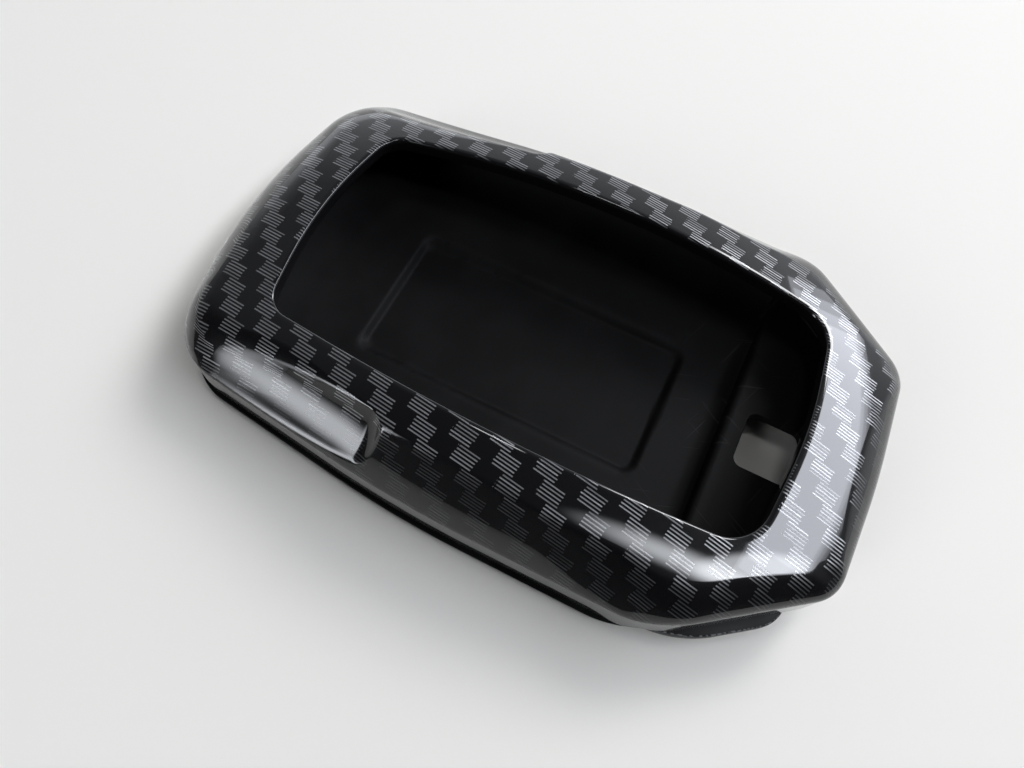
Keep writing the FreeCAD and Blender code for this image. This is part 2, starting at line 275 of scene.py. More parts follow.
@dataclass(frozen=True)
class CoverOutline:
    """The cover's outline where it is widest, as it is drawn and as it moves inwards."""

    length: float = 79.8
    width: float = 51.0
    chamfer_width: float = 11.35
    chamfer_length: float = 16.2
    taper_width: float = 3.9
    taper_length: float = 33.4
    nose_bow: float = 0.6
    heel_bow: float = 1.8
    heel_peak: float = 0.6
    nose_corner_radius: float = 4.5
    shoulder_radius: float = 14.0
    heel_corner_radius: float = 8.5
    nose_arc_share: float = 0.3
    flank_arc_share: float = 0.3
    heel_arc_share: float = 0.4

    @staticmethod
    def arc_radius(before: np.ndarray, here: np.ndarray, after: np.ndarray, share: float) -> float:
        """The radius that bends two sides over a share of the shorter one."""
        back = before - here
        ahead = after - here
        sizes = np.linalg.norm(back), np.linalg.norm(ahead)
        angle = math.acos(float(back @ ahead) / (sizes[0] * sizes[1]))
        return share * min(sizes) * math.tan(angle / 2)

    def moved_in(
        self, side: float, nose: float, heel: float, chamfer: float | None = None
    ) -> RoundedOutline:
        """The outline after its sides and ends have moved inwards.

        Args:
            side: How far the long sides move.
            nose: How far the nose moves.
            heel: How far the heel moves.
            chamfer: How far the chamfers move, with the nose where it is left out.

        Returns:
            The moved outline.
        """
        chamfer = nose if chamfer is None else chamfer
        tip = self.length / 2
        half = self.width / 2
        drawn = [
            (tip - self.nose_bow, self.chamfer_width - half),
            (tip, 0.0),
            (tip - self.nose_bow, half - self.chamfer_width),
            (tip - self.chamfer_length, half),
            (self.taper_length - tip, half),
            (self.heel_bow - tip, half - self.taper_width),
            (-tip - self.heel_peak, 0.0),
            (self.heel_bow - tip, self.taper_width - half),
        ]
        points = [np.array(place) for place in drawn]
        insets = (nose, nose, chamfer, side, side, heel, heel)
        lines = []
        for start, stop, inset in zip(points[:-1], points[1:], insets):
            run = (stop - start) / np.linalg.norm(stop - start)
            lines.append((start + np.array([-run[1], run[0]]) * inset, run))
        moved = []
        for (start, run), (other, turn) in zip(lines[:-1], lines[1:]):
            gap = other - start
            along = (gap[0] * turn[1] - gap[1] * turn[0]) / (run[0] * turn[1] - run[1] * turn[0])
            moved.append(start + run * along)
        flip = np.array([1.0, -1.0])
        tip_mid, nose_corner, shoulder, flank, heel_corner, heel_mid = moved
        nose_arc = self.arc_radius(nose_corner * flip, tip_mid, nose_corner, self.nose_arc_share)
        flank_arc = self.arc_radius(shoulder, flank, heel_corner, self.flank_arc_share)
        heel_arc = self.arc_radius(heel_corner, heel_mid, heel_corner * flip, self.heel_arc_share)
        radii = (
            nose_arc,
            self.nose_corner_radius * (1 - (nose + chamfer) / self.width),
            self.shoulder_radius * (1 - (chamfer + side) / self.width),
            flank_arc,
            self.heel_corner_radius * (1 - (side + heel) / self.width),
            heel_arc,
        )
        return RoundedOutline(tuple((*place, radius) for place, radius in zip(moved, radii)))


@dataclass(frozen=True)
class SectionRing:
    """The upright sections all round the cover, as rays that leave the X axis."""

    stations: int
    fans: tuple[float, float] = (14.0, -18.0)
    crowd: tuple[float, float, float] = (0.0, 0.0, 1.0)

    def rays(self, outline: CoverOutline) -> tuple[np.ndarray, np.ndarray]:
        """Spread the sections evenly along the outline, closer together where they crowd.

        Args:
            outline: The cover's outline.

        Returns:
            Each section's x on the axis and its unit direction.
        """
        count = 3000
        nose_x, heel_x = self.fans
        turn = np.concatenate([
            np.linspace(0, math.pi / 2, count, endpoint=False),
            np.full(count, math.pi / 2),
            np.linspace(math.pi / 2, math.pi, count),
        ])
        start = np.concatenate([
            np.full(count, nose_x),
            np.linspace(nose_x, heel_x, count, endpoint=False),
            np.full(count, heel_x),
        ])
        heading = np.stack([np.cos(turn), np.sin(turn)], axis=1)
        far = outline.moved_in(0.0, 0.0, 0.0).reach(start, heading)
        place = np.stack([start, np.zeros_like(start)], axis=1) + heading * far[:, None]
        step = np.linalg.norm(np.diff(place, axis=0), axis=1)
        middle = (place[1:, 0] + place[:-1, 0]) / 2
        low, high, weight = self.crowd
        step = np.where((middle > low) & (middle < high), step * weight, step)
        run = np.concatenate([[0.0], np.cumsum(step)])
        half = self.stations // 2
        wanted = (np.arange(half) + 0.5) / half * run[-1]
        turn = np.interp(wanted, run, turn)
        start = np.interp(wanted, run, start)
        turn = np.concatenate([turn, -turn[::-1]])
        start = np.concatenate([start, start[::-1]])
        return start, np.stack([np.cos(turn), np.sin(turn)], axis=1)


@dataclass(frozen=True)
class WindowOutline:
    """The button window's outline."""

    nose: float = 30.1
    heel: float = -30.1
    half_width: float = 17.2
    nose_corner: tuple[float, float] = (28.8, 14.5)
    heel_corner: tuple[float, float] = (-28.4, 13.5)
    nose_radius: float = 4.8
    heel_radius: float = 3.2
    nose_arc_share: float = 0.37
    flank_arc_share: float = 0.78
    heel_arc_share: float = 0.55

    def drawn(self) -> RoundedOutline:
        """The outline as it is cut."""
        flip = np.array([1.0, -1.0])
        nose_mid = np.array([self.nose, 0.0])
        nose_corner = np.array(self.nose_corner)
        flank = np.array([(self.nose + self.heel) / 2, self.half_width])
        heel_corner = np.array(self.heel_corner)
        heel_mid = np.array([self.heel, 0.0])
        arc = CoverOutline.arc_radius
        nose_arc = arc(nose_corner * flip, nose_mid, nose_corner, self.nose_arc_share)
        flank_arc = arc(nose_corner, flank, heel_corner, self.flank_arc_share)
        heel_arc = arc(heel_corner, heel_mid, heel_corner * flip, self.heel_arc_share)
        places = (nose_mid, nose_corner, flank, heel_corner, heel_mid)
        radii = (nose_arc, self.nose_radius, flank_arc, self.heel_radius, heel_arc)
        return RoundedOutline(tuple((*place, radius) for place, radius in zip(places, radii)))


@dataclass(frozen=True)
class Scallop:
    """The finger scallop, a spindle whose axis leans with the tapered side and rises to the nose."""

    radius: float = 12.0
    wall: float = 1.4
    axis_foot: tuple[float, float, float] = (-6.5, 30.45, 18.9)
    taper_angle: float = math.radians(6.2)
    pitch_angle: float = math.atan2(1.7, 23.5)
    heel_top: float = -9.5
    nose_top: float = -7.0
    run_in: float = 20.0
    run_out: float = 2.3
    heel_fade: float = 0.85
    nose_fade: float = 1.0
    edge_round: tuple[float, float] = (0.25, 1.2)

    def carve(self, place: tuple[Term, Term, Term], growth: Term) -> tuple[Term, Term, Term]:
        """Push a surface's points out of the spindle on both sides of the cover.

        Args:
            place: A point's coordinates in millimetres.
            growth: How much larger the spindle is at that point.

        Returns:
            The point's new coordinates.
        """
        x, y, z = place
        across = y.size() - self.axis_foot[1]
        along = x - self.axis_foot[0]
        rise = z - self.axis_foot[2]
        cos_taper, sin_taper = math.cos(self.taper_angle), math.sin(self.taper_angle)
        cos_pitch, sin_pitch = math.cos(self.pitch_angle), math.sin(self.pitch_angle)
        level = along * cos_taper + across * sin_taper
        out = across * cos_taper - along * sin_taper
        axial = level * cos_pitch + rise * sin_pitch
        lift = rise * cos_pitch - level * sin_pitch
        heel_share = ((self.heel_top - axial) / self.run_in).most(0.0)
        nose_share = ((axial - self.nose_top) / self.run_out).most(0.0)
        fade = heel_share * heel_share * self.heel_fade + nose_share * nose_share * self.nose_fade
        spindle = (self.radius - fade + growth).most(0.0)
        distance = (out * out + lift * lift).root().most(0.01)
        crisp, soft = self.edge_round
        stretch = distance.soft_most(spindle, heel_share.least(1.0) * (soft - crisp) + crisp) / distance
        out = out * stretch
        lift = lift * stretch
        level = axial * cos_pitch - lift * sin_pitch
        rise = axial * sin_pitch + lift * cos_pitch
        along = level * cos_taper - out * sin_taper
        across = level * sin_taper + out * cos_taper
        return along + self.axis_foot[0], (across + self.axis_foot[1]) * y.sign(), rise + self.axis_foot[2]


@dataclass(frozen=True)
class GlossFinish:
    """Carbon-look print under clear gloss lacquer."""

    ground: tuple[float, float, float] = (0.004, 0.004, 0.0045)
    thread: tuple[float, float, float] = (0.29, 0.295, 0.303)
    row_pitch: float = 1.87
    patch_period: float = 5.27
    patch_share: float = 0.495
    row_shift: float = 1.5
    turn: float = math.radians(8.0)
    threads: float = 5.0
    end_jitter: float = 0.045
    end_softness: float = 0.02
    thread_edge: tuple[float, float] = (0.45, 0.98)
    thread_light: tuple[float, float] = (0.72, 0.55)
    shine: float = 0.8
    roughness: float = 0.42
    specular: float = 0.05
    coat_roughness: float = 0.035
    coat_ior: float = 1.48

    def weave_values(self) -> dict[str, float]:
        """The weave group's sizes by name."""
        return {
            "Row Pitch": self.row_pitch,
            "Patch Period": self.patch_period,
            "Patch Share": self.patch_share,
            "Row Shift": self.row_shift,
            "Turn": self.turn,
            "Threads": self.threads,
        }

    def weave_group(self) -> bpy.types.NodeTree:
        """The shader group that draws the weave from a flat place in metres.

        Returns:
            The group, whose output is the mask of the threads, with the painted shade on the flank in it.
        """
        tree = bpy.data.node_groups.new("carbon_weave", "ShaderNodeTree")
        tree.interface.new_socket("Place", in_out="INPUT", socket_type="NodeSocketVector")
        for name in self.weave_values():
            tree.interface.new_socket(name, in_out="INPUT", socket_type="NodeSocketFloat")
        tree.interface.new_socket("Threads", in_out="OUTPUT", socket_type="NodeSocketFloat")
        given = tree.nodes.new("NodeGroupInput")
        result = tree.nodes.new("NodeGroupOutput")
        pitch, period, share, shift, turn, threads = (
            Term(tree, given.outputs[name]) for name in self.weave_values()
        )
        # The third number is the print's share, made fainter down the flank as painted shade.
        x, y, print_and_shade = parted(tree, given.outputs["Place"])
        x = x / MM
        y = y / MM
        cos_turn = turn.cosine()
        sin_turn = turn.sine()
        along = x * cos_turn - y * sin_turn
        across = (x * sin_turn + y * cos_turn) / pitch
        row = across.floor()
        strand = across * threads
        noise = tree.nodes.new("ShaderNodeTexWhiteNoise")
        noise.noise_dimensions = "2D"
        patches = (along + row * shift) / period
        where = joined(strand.floor(), patches.floor(), 0.0)
        tree.links.new(where, noise.inputs["Vector"])
        jitter = Term(tree, noise.outputs["Value"]) - 0.5
        spot = (patches + jitter * self.end_jitter).fraction()
        patch = spot.ramp(0.0, self.end_softness) * (share - spot).ramp(0.0, self.end_softness)
        ridge = 0.5 - (strand * (2 * math.pi)).cosine() * 0.5
        light, spread = self.thread_light
        thread = ridge.ramp(*self.thread_edge) * (light + jitter * spread)
        tree.links.new((patch.least(1.0) * thread * print_and_shade).socket, result.inputs["Threads"])
        return tree

    def material(self) -> bpy.types.Material:
        """The lacquered print."""
        made = bpy.data.materials.new("carbon_gloss")
        made.use_nodes = True
        tree = made.node_tree
        shader = tree.nodes["Principled BSDF"]
        place = tree.nodes.new("ShaderNodeAttribute")
        place.attribute_name = "weave"
        weave = tree.nodes.new("ShaderNodeGroup")
        weave.node_tree = self.weave_group()
        tree.links.new(place.outputs["Vector"], weave.inputs["Place"])
        for name, value in self.weave_values().items():
            weave.inputs[name].default_value = value
        # The thread mask drives colour and metallic, so the painted shade on the flank darkens both.
        threads = Term(tree, weave.outputs["Threads"])
        tree.links.new(blended(tree, self.ground, self.thread, threads), shader.inputs["Base Color"])
        tree.links.new((threads * self.shine).socket, shader.inputs["Metallic"])
        shader.inputs["Roughness"].default_value = self.roughness
        shader.inputs["Specular IOR Level"].default_value = self.specular
        shader.inputs["Coat Weight"].default_value = 1.0
        shader.inputs["Coat Roughness"].default_value = self.coat_roughness
        shader.inputs["Coat IOR"].default_value = self.coat_ior
        return made


def marks_group() -> bpy.types.NodeTree:
    """The shader group of the fine marks on moulded plastic.

    Returns:
        The group, whose outputs are a fine grain, soft clouds and the mask of hairline scratches.
    """
    scratch_turns = ((0.35, 0.0), (1.2, 3.0), (-0.5, 7.0))
    scratch_along = 90.0
    scratch_across = 2600.0
    scratch_edge = 0.05
    tree = bpy.data.node_groups.new("fine_marks", "ShaderNodeTree")
    tree.interface.new_socket("Place", in_out="INPUT", socket_type="NodeSocketVector")
    for name in ("Grain Scale", "Cloud Scale", "Scratch Share"):
        tree.interface.new_socket(name, in_out="INPUT", socket_type="NodeSocketFloat")
    for name in ("Grain", "Clouds", "Scratches"):
        tree.interface.new_socket(name, in_out="OUTPUT", socket_type="NodeSocketFloat")
    given = tree.nodes.new("NodeGroupInput")
    result = tree.nodes.new("NodeGroupOutput")
    for name, scale, detail in (("Grain", "Grain Scale", 2.0), ("Clouds", "Cloud Scale", 4.0)):
        noise = tree.nodes.new("ShaderNodeTexNoise")
        noise.inputs["Detail"].default_value = detail
        tree.links.new(given.outputs["Place"], noise.inputs["Vector"])
        tree.links.new(given.outputs[scale], noise.inputs["Scale"])
        tree.links.new(noise.outputs["Fac"], result.inputs[name])
    x, y, z = parted(tree, given.outputs["Place"])
    least = 1.0 - Term(tree, given.outputs["Scratch Share"])
    marks = None
    for turn, shift in scratch_turns:
        along = x * math.cos(turn) + y * math.sin(turn)
        across = y * math.cos(turn) - x * math.sin(turn)
        noise = tree.nodes.new("ShaderNodeTexNoise")
        noise.inputs["Scale"].default_value = 1.0
        noise.inputs["Detail"].default_value = 1.0
        drawn = joined(along * scratch_along + shift, across * scratch_across, z * scratch_along)
        tree.links.new(drawn, noise.inputs["Vector"])
        line = (Term(tree, noise.outputs["Fac"]) - least).ramp(0.0, scratch_edge)
        marks = line if marks is None else marks.most(line)
    tree.links.new(marks.socket, result.inputs["Scratches"])
    return tree


def fine_marks(tree: bpy.types.NodeTree, values: dict[str, float]) -> dict[str, Term]:
    """Place the fine marks in a material.

    Args:
        tree: The material's tree.
        values: The group's values.

    Returns:
        Its outputs by name.
    """
    place = tree.nodes.new("ShaderNodeTexCoord")
    marks = tree.nodes.new("ShaderNodeGroup")
    marks.node_tree = marks_group()
    tree.links.new(place.outputs["Object"], marks.inputs["Place"])
    for name, value in values.items():
        marks.inputs[name].default_value = value
    return {out.name: Term(tree, out) for out in marks.outputs}


def blended(
    tree: bpy.types.NodeTree, low: tuple | bpy.types.NodeSocket, high: tuple, share: Term
) -> bpy.types.NodeSocket:
    """A colour between two.

    Args:
        tree: The material's tree.
        low: The colour where the share is zero, or its socket.
        high: The colour where it is one.
        share: The share.

    Returns:
        The colour's socket.
    """
    node = tree.nodes.new("ShaderNodeMix")
    node.data_type = "RGBA"
    tree.links.new(share.socket, node.inputs["Factor"])
    for place, colour in ((node.inputs[6], low), (node.inputs[7], high)):
        if isinstance(colour, tuple):
            place.default_value = (*colour, 1.0)
        else:
            tree.links.new(colour, place)
    return node.outputs[2]


@dataclass(frozen=True)
class TrayFinish:
    """Black plastic, finely matte inside, satin outside and scuffed along the tabs."""

    ground: tuple[float, float, float] = (0.0026, 0.0026, 0.0028)
    worn: tuple[float, float, float] = (0.0050, 0.0050, 0.0053)
    scratched: tuple[float, float, float] = (0.03, 0.03, 0.031)
    scuffed: tuple[float, float, float] = (0.2, 0.2, 0.205)
    matte: float = 0.56
    satin: float = 0.3
    cloud_edge: tuple[float, float] = (0.35, 0.7)
    cloud_roughness: float = 0.08
    scratch_place: tuple[float, float] = (12.0, 22.0)
    scratch_strength: float = 0.5
    scuff_foot: tuple[float, float] = (2.74, 2.9)
    scuff_head: tuple[float, float] = (2.94, 2.99)
    scuff_place: tuple[float, float] = (21.0, 24.0)
    scuff_grain: tuple[float, float] = (0.45, 0.6)
    scuff_roughness: float = 0.3
    specular: float = 0.11
    bump_strength: float = 0.15
    bump_height: float = 0.03

    def material(self) -> bpy.types.Material:
        """The moulded plastic."""
        made = bpy.data.materials.new("tray_black")
        made.use_nodes = True
        tree = made.node_tree
        shader = tree.nodes["Principled BSDF"]
        marks = fine_marks(tree, {"Grain Scale": 2600.0, "Cloud Scale": 150.0, "Scratch Share": 0.3})
        place = tree.nodes.new("ShaderNodeTexCoord")
        x, _, z = parted(tree, place.outputs["Object"])
        layer = tree.nodes.new("ShaderNodeAttribute")
        layer.attribute_name = "satin"
        outside = Term(tree, layer.outputs["Fac"])

        def from_to(length: Term, run: tuple[float, float]) -> Term:
            """A smooth step between two places in millimetres."""
            return length.ramp(run[0] * MM, run[1] * MM)

        clouds = marks["Clouds"].ramp(*self.cloud_edge)
        scratch = marks["Scratches"] * from_to(x, self.scratch_place) * (1.0 - outside)
        scuff = from_to(z, self.scuff_foot) * (1.0 - from_to(z, self.scuff_head))
        scuff = scuff * from_to(x, self.scuff_place) * outside * marks["Grain"].ramp(*self.scuff_grain)
        colour = blended(tree, self.ground, self.worn, clouds)
        colour = blended(tree, colour, self.scratched, scratch * self.scratch_strength)
        colour = blended(tree, colour, self.scuffed, scuff)
        tree.links.new(colour, shader.inputs["Base Color"])
        rough = self.matte + clouds * self.cloud_roughness + outside * (self.satin - self.matte)
        rough = rough + scuff * self.scuff_roughness
        tree.links.new(rough.socket, shader.inputs["Roughness"])
        shader.inputs["Specular IOR Level"].default_value = self.specular
        bump = tree.nodes.new("ShaderNodeBump")
        bump.inputs["Strength"].default_value = self.bump_strength
        bump.inputs["Distance"].default_value = self.bump_height * MM
        tree.links.new(marks["Grain"].socket, bump.inputs["Height"])
        tree.links.new(bump.outputs["Normal"], shader.inputs["Normal"])
        return made


@dataclass
class FrontFrame:
    """The glossy frame with its button window, scallops and skirt, swept by a node tree.

    Attributes:
        side_roll: How far the long sides roll inwards, and the height where that starts.
        nose_roll: The same for the nose.
        heel_roll: The same for the heel.
        side_turn: The facings in degrees between which the nose becomes the side.
        heel_turn: The facings between which the side becomes the heel.
        crease_place: Where along X the crease starts to be drawn in, and where it is fully so.
        corner_turn: The facing of the nose corners, and how widely they spread.
        ridge_heights: The lowest and highest height where the ridge is looked for, and the steps.
        relief: Where along X the skirt starts to rise, where it is raised, and its bottom there.
        ridge_round: The ridge's rounding at its crisp and at its soft end.
        ridge_soft: Where along X the ridge starts to soften, and where it is softest.
        print_start: Where the print starts, in steps from the end of the window's edge.
        flank_shade_steps: Where the print grows fainter as painted shade down the flank, in steps from
            both ends of the ridge's bend.
        runs: The steps in each run of the section, from the window's wall round to the hollow.
    """

    outline: CoverOutline = field(default_factory=CoverOutline)
    window: WindowOutline = field(default_factory=WindowOutline)
    scallop: Scallop = field(default_factory=Scallop)
    finish: GlossFinish = field(default_factory=GlossFinish)
    crown_height: float = 15.18
    crown_along: float = 175.0
    crown_across: float = 88.0
    side_roll: tuple[float, float] = (7.4, 3.3)
    nose_roll: tuple[float, float] = (15.2, 8.0)
    heel_roll: tuple[float, float] = (11.0, 7.0)
    side_turn: tuple[float, float] = (56.0, 86.0)
    heel_turn: tuple[float, float] = (98.0, 170.0)
    flank_foot: float = 6.8
    flank_power: float = 1.12
    crease_pull: float = 1.1
    crease_place: tuple[float, float] = (8.0, 20.0)
    crease_turn: tuple[float, float] = (5.0, 30.0)
    corner_pull: float = 0.8
    corner_turn: tuple[float, float] = (28.0, 14.0)
    least_pull: float = 0.001
    ridge_heights: tuple[float, float, int] = (7.0, 14.4, 75)
    skirt_bottom: float = 1.8
    relief: tuple[float, float, float] = (21.3, 22.9, 3.2)
    skirt_wall: float = 1.7
    rim_thickness: float = 1.8
    window_round: float = 0.7
    ridge_round: tuple[float, float] = (0.3, 3.6)
    ridge_soft: tuple[float, float] = (-4.0, -30.0)
    ridge_drop_share: float = 0.8
    skirt_round: float = 0.25
    tuck: float = 0.01
    print_start: tuple[float, float] = (-3.0, -1.0)
    # The print's fade down the flank is painted shade for the threads' dimmer reflection there.
    flank_shade_steps: tuple[float, float] = (3.0, 4.0)
    flank_shade_share: float = 0.85
    ring: SectionRing = SectionRing(760, crowd=(-33.0, -8.0, 2.4))
    runs: tuple[int, ...] = (3, 6, 26, 8, 38, 4, 2, 12, 6)

    def sizes(self) -> dict[str, float]:
        """The node tree's sizes by name."""
        return {
            "Crown Height": self.crown_height,
            "Crown Along": self.crown_along,
            "Crown Across": self.crown_across,
            "Skirt Wall": self.skirt_wall,
            "Rim Thickness": self.rim_thickness,
            "Window Round": self.window_round,
            "Skirt Round": self.skirt_round,
            "Scallop Wall": self.scallop.wall,
        }

    def crown(self, x: np.ndarray, y: np.ndarray) -> np.ndarray:
        """The crown's height over a place."""
        hoop = self.crown_across - self.crown_along + np.sqrt(self.crown_along ** 2 - x ** 2)
        return self.crown_height - self.crown_across + np.sqrt(hoop ** 2 - y ** 2)

    def roll(self, z: float, form: tuple[float, float]) -> float:
        """How far a side or end has rolled inwards at a height."""
        share = max(0.0, (z - form[1]) / (self.crown_height - form[1]))
        return form[0] * share ** 2

    def rail(self) -> bpy.types.Mesh:
        """The points round the cover that carry each section's sizes.

        Returns:
            A mesh of points with the attributes axis, reach, level and slant, in millimetres.
        """
        start, heading = self.ring.rays(self.outline)
        inner = self.window.drawn().reach(start, heading)
        outer = self.outline.moved_in(0.0, 0.0, 0.0).reach(start, heading)
        place = np.stack([start, np.zeros_like(start)], axis=1) + heading * outer[:, None]
        run = np.roll(place, -1, axis=0) - np.roll(place, 1, axis=0)
        normal = np.stack([run[:, 1], -run[:, 0]], axis=1)
        normal = normal / np.linalg.norm(normal, axis=1)[:, None]
        slant = 1 / np.abs(np.sum(normal * heading, axis=1))
        facing = np.degrees(np.arctan2(np.abs(normal[:, 1]), normal[:, 0]))
        to_side = eased(share_of(facing, *self.side_turn))
        to_heel = eased(share_of(facing, *self.heel_turn))
        base = self.nose_roll[1] + (self.flank_foot - self.nose_roll[1]) * to_side
        base = base + (self.heel_roll[1] - self.flank_foot) * to_heel
        power = 2.0 + (self.flank_power - 2.0) * (to_side - to_heel)
        heights = np.linspace(*self.ridge_heights)
        reaches = []
        for z in heights:
            moved = self.outline.moved_in(
                self.roll(z, self.side_roll), self.roll(z, self.nose_roll), self.roll(z, self.heel_roll)
            )
            reaches.append(moved.reach(start, heading))
        reaches = np.array(reaches)
        room = self.crown(start + reaches * heading[:, 0], reaches * heading[:, 1]) - heights[:, None]
        last = np.argmax(room < 0, axis=0)
        rows = np.arange(len(start))
        part = room[last - 1, rows] / (room[last - 1, rows] - room[last, rows])
        ridge_z = heights[last - 1] + part * (heights[last] - heights[last - 1])
        ridge = reaches[last - 1, rows] + part * (reaches[last, rows] - reaches[last - 1, rows])
        along = place[:, 0]
        drawn = share_of(along, *self.crease_place)
        turned = share_of(facing, *self.crease_turn)
        middle, spread = self.corner_turn
        corner = np.exp(-((facing - middle) / spread) ** 2) * self.corner_pull
        ridge = ridge - (self.crease_pull * eased(drawn) * turned + corner) * slant
        pulled_z = self.crown(start + ridge * heading[:, 0], ridge * heading[:, 1])
        ridge_z = np.where(self.crease_pull * drawn + corner > self.least_pull, pulled_z, ridge_z)
        begin, full, raised = self.relief
        bottom = self.skirt_bottom + share_of(along, begin, full) * (raised - self.skirt_bottom)
        crisp, soft = self.ridge_round
        ridge_round = crisp + (soft - crisp) * eased(share_of(along, *self.ridge_soft))
        kernel = np.array([1, 4, 6, 4, 1]) / 16
        even = [
            np.convolve(np.concatenate([row[-2:], row, row[:2]]), kernel, mode="valid")
            for row in (inner, outer, ridge, ridge_z, base, slant, power)
        ]
        inner, outer, ridge, ridge_z, base, slant, power = even
        outer = outer - self.tuck
        ridge = ridge - self.tuck
        mesh = bpy.data.meshes.new("frame_rail")
        mesh.from_pydata([(*spot, 0.0) for spot in place * MM], [], [])
        for name, columns in (
            ("axis", (start, heading[:, 0], heading[:, 1])),
            ("reach", (inner, outer, ridge)),
            ("level", (ridge_z, base, bottom)),
            ("slant", (slant, ridge_round, power)),
        ):
            layer = mesh.attributes.new(name, "FLOAT_VECTOR", "POINT")
            layer.data.foreach_set("vector", np.stack(columns, axis=1).astype(np.float32).ravel())
        return mesh

    def section(
        self, tree: bpy.types.NodeTree, given: bpy.types.Node, sampled: dict[str, tuple]
    ) -> tuple:
        """The frame's closed section as math nodes.

        Args:
            tree: The node tree.
            given: The tree's input node, with the sizes.
            sampled: The rail's values at a point, by name, with the point's step in the section.

        Returns:
            The point's place before carving, its wall growth, and its flat place in the weave with
            the print's share, which grows fainter down the flank as painted shade.
        """
        size = {out.name: Term(tree, out) for out in given.outputs if out.type == "VALUE"}
        start, cosine, sine = sampled["axis"]
        inner, outer, ridge = sampled["reach"]
        ridge_z, base, bottom = sampled["level"]
        slant, ridge_round, power = sampled["slant"]
        step = sampled["step"][0]

        def crown_over(reach: Term) -> Term:
            """The crown's height along the section."""
            x = start + cosine * reach
            y = sine * reach
            along = size["Crown Along"]
            across = size["Crown Across"]
            hoop = across - along + (along * along - x * x).root()
            return size["Crown Height"] - across + (hoop * hoop - y * y).root()

        def side_at(z: Term) -> Term:
            """The rolled side's reach at a height."""
            share = ((z - base) / (ridge_z - base)).most(0.0)
            return outer + (ridge - outer) * share.raised(power)

        def bend(first: tuple, corner: tuple, last: tuple, share: Term) -> tuple:
            """A point on the curve that rounds a corner."""
            made = []
            for a, b, c in zip(first, corner, last):
                made.append(between(between(a, b, share), between(b, c, share), share))
            return tuple(made)

        bounds = [float(edge) for edge in np.concatenate([[0], np.cumsum(self.runs)])]
        shares = [
            ((step - low) / (high - low)).least(1.0).most(0.0)
            for low, high in zip(bounds[:-1], bounds[1:])
        ]
        window_round = size["Window Round"]
        rim_start = inner + window_round
        top = crown_over(inner)
        wall_foot = top - size["Rim Thickness"]
        wall_head = top - window_round
        rim_stop = ridge - ridge_round
        side_head = ridge_z - ridge_round * self.ridge_drop_share
        skirt_round = size["Skirt Round"]
        side_foot = bottom + skirt_round
        wall = size["Skirt Wall"] * slant
        hollow_top = ridge_z - size["Rim Thickness"]
        rim_reach = between(rim_start, rim_stop, shares[2])
        side_z = between(side_head, side_foot, shares[4])
        inside_z = between(bottom, hollow_top, shares[7])
        under_start = side_at(hollow_top) - wall
        rim_edge = (rim_stop, crown_over(rim_stop))
        side_edge = (side_at(side_head), side_head)
        skirt_edge = (side_at(side_foot), side_foot)
        skirt_inner = outer - skirt_round
        spots = [
            (inner, between(wall_foot, wall_head, shares[0])),
            bend((inner, wall_head), (inner, top), (rim_start, crown_over(rim_start)), shares[1]),
            (rim_reach, crown_over(rim_reach)),
            bend(rim_edge, (ridge, ridge_z), side_edge, shares[3]),
            (side_at(side_z), side_z),
            bend(skirt_edge, (outer, bottom), (skirt_inner, bottom), shares[5]),
            (between(skirt_inner, outer - wall, shares[6]), bottom),
            (side_at(inside_z) - wall, inside_z),
            (between(under_start, inner, shares[8]), between(hollow_top, wall_foot, shares[8])),
        ]
        reach, height = spots[0]
        for (next_reach, next_height), low in zip(spots[1:], bounds[1:]):
            past = step.above(low - 0.5)
            reach = between(reach, next_reach, past)
            height = between(height, next_height, past)
        growth = step.above(bounds[7] - 0.5) * size["Scallop Wall"]
        fall_x = reach - ridge
        fall_z = height - ridge_z
        beyond = ridge + (fall_x * fall_x + fall_z * fall_z).root()
        past_ridge = step.above(bounds[3] + self.runs[3] / 2)
        flat = between(reach, beyond, past_ridge)
        started = step.ramp(bounds[2] + self.print_start[0], bounds[2] + self.print_start[1])
        # Painted shade: the print grows fainter from the ridge's bend down the flank, for the threads'
        # dimmer reflection there.
        flank_shade = step.ramp(bounds[3] + self.flank_shade_steps[0], bounds[4] + self.flank_shade_steps[1])
        print_and_shade = started * (1.0 - step.above(bounds[6] - 0.5)) * (1.0 - flank_shade * self.flank_shade_share)
        place = (start + cosine * reach, sine * reach, height)
        return place, growth, (start + cosine * flat, sine * flat, print_and_shade)

    def sweep_tree(self) -> bpy.types.NodeTree:
        """The node tree that sweeps the section along the rail and carves the scallops."""
        tree = bpy.data.node_groups.new("frame_sweep", "GeometryNodeTree")
        tree.is_modifier = True
        make = tree.interface.new_socket
        make("Geometry", in_out="INPUT", socket_type="NodeSocketGeometry")
        for name in self.sizes():
            make(name, in_out="INPUT", socket_type="NodeSocketFloat")
        make("Finish", in_out="INPUT", socket_type="NodeSocketMaterial")
        make("Geometry", in_out="OUTPUT", socket_type="NodeSocketGeometry")
        nodes, links = tree.nodes, tree.links
        given = nodes.new("NodeGroupInput")
        result = nodes.new("NodeGroupOutput")
        count = sum(self.runs)
        stations = self.ring.stations
        grid = nodes.new("GeometryNodeMeshGrid")
        grid.inputs["Vertices X"].default_value = stations + 1
        grid.inputs["Vertices Y"].default_value = count + 1
        nudge = 0.0001

        def rounds(number: Term, size: int) -> Term:
            """How many whole times a size goes into a whole number."""
            return (number / float(size) + nudge).floor()

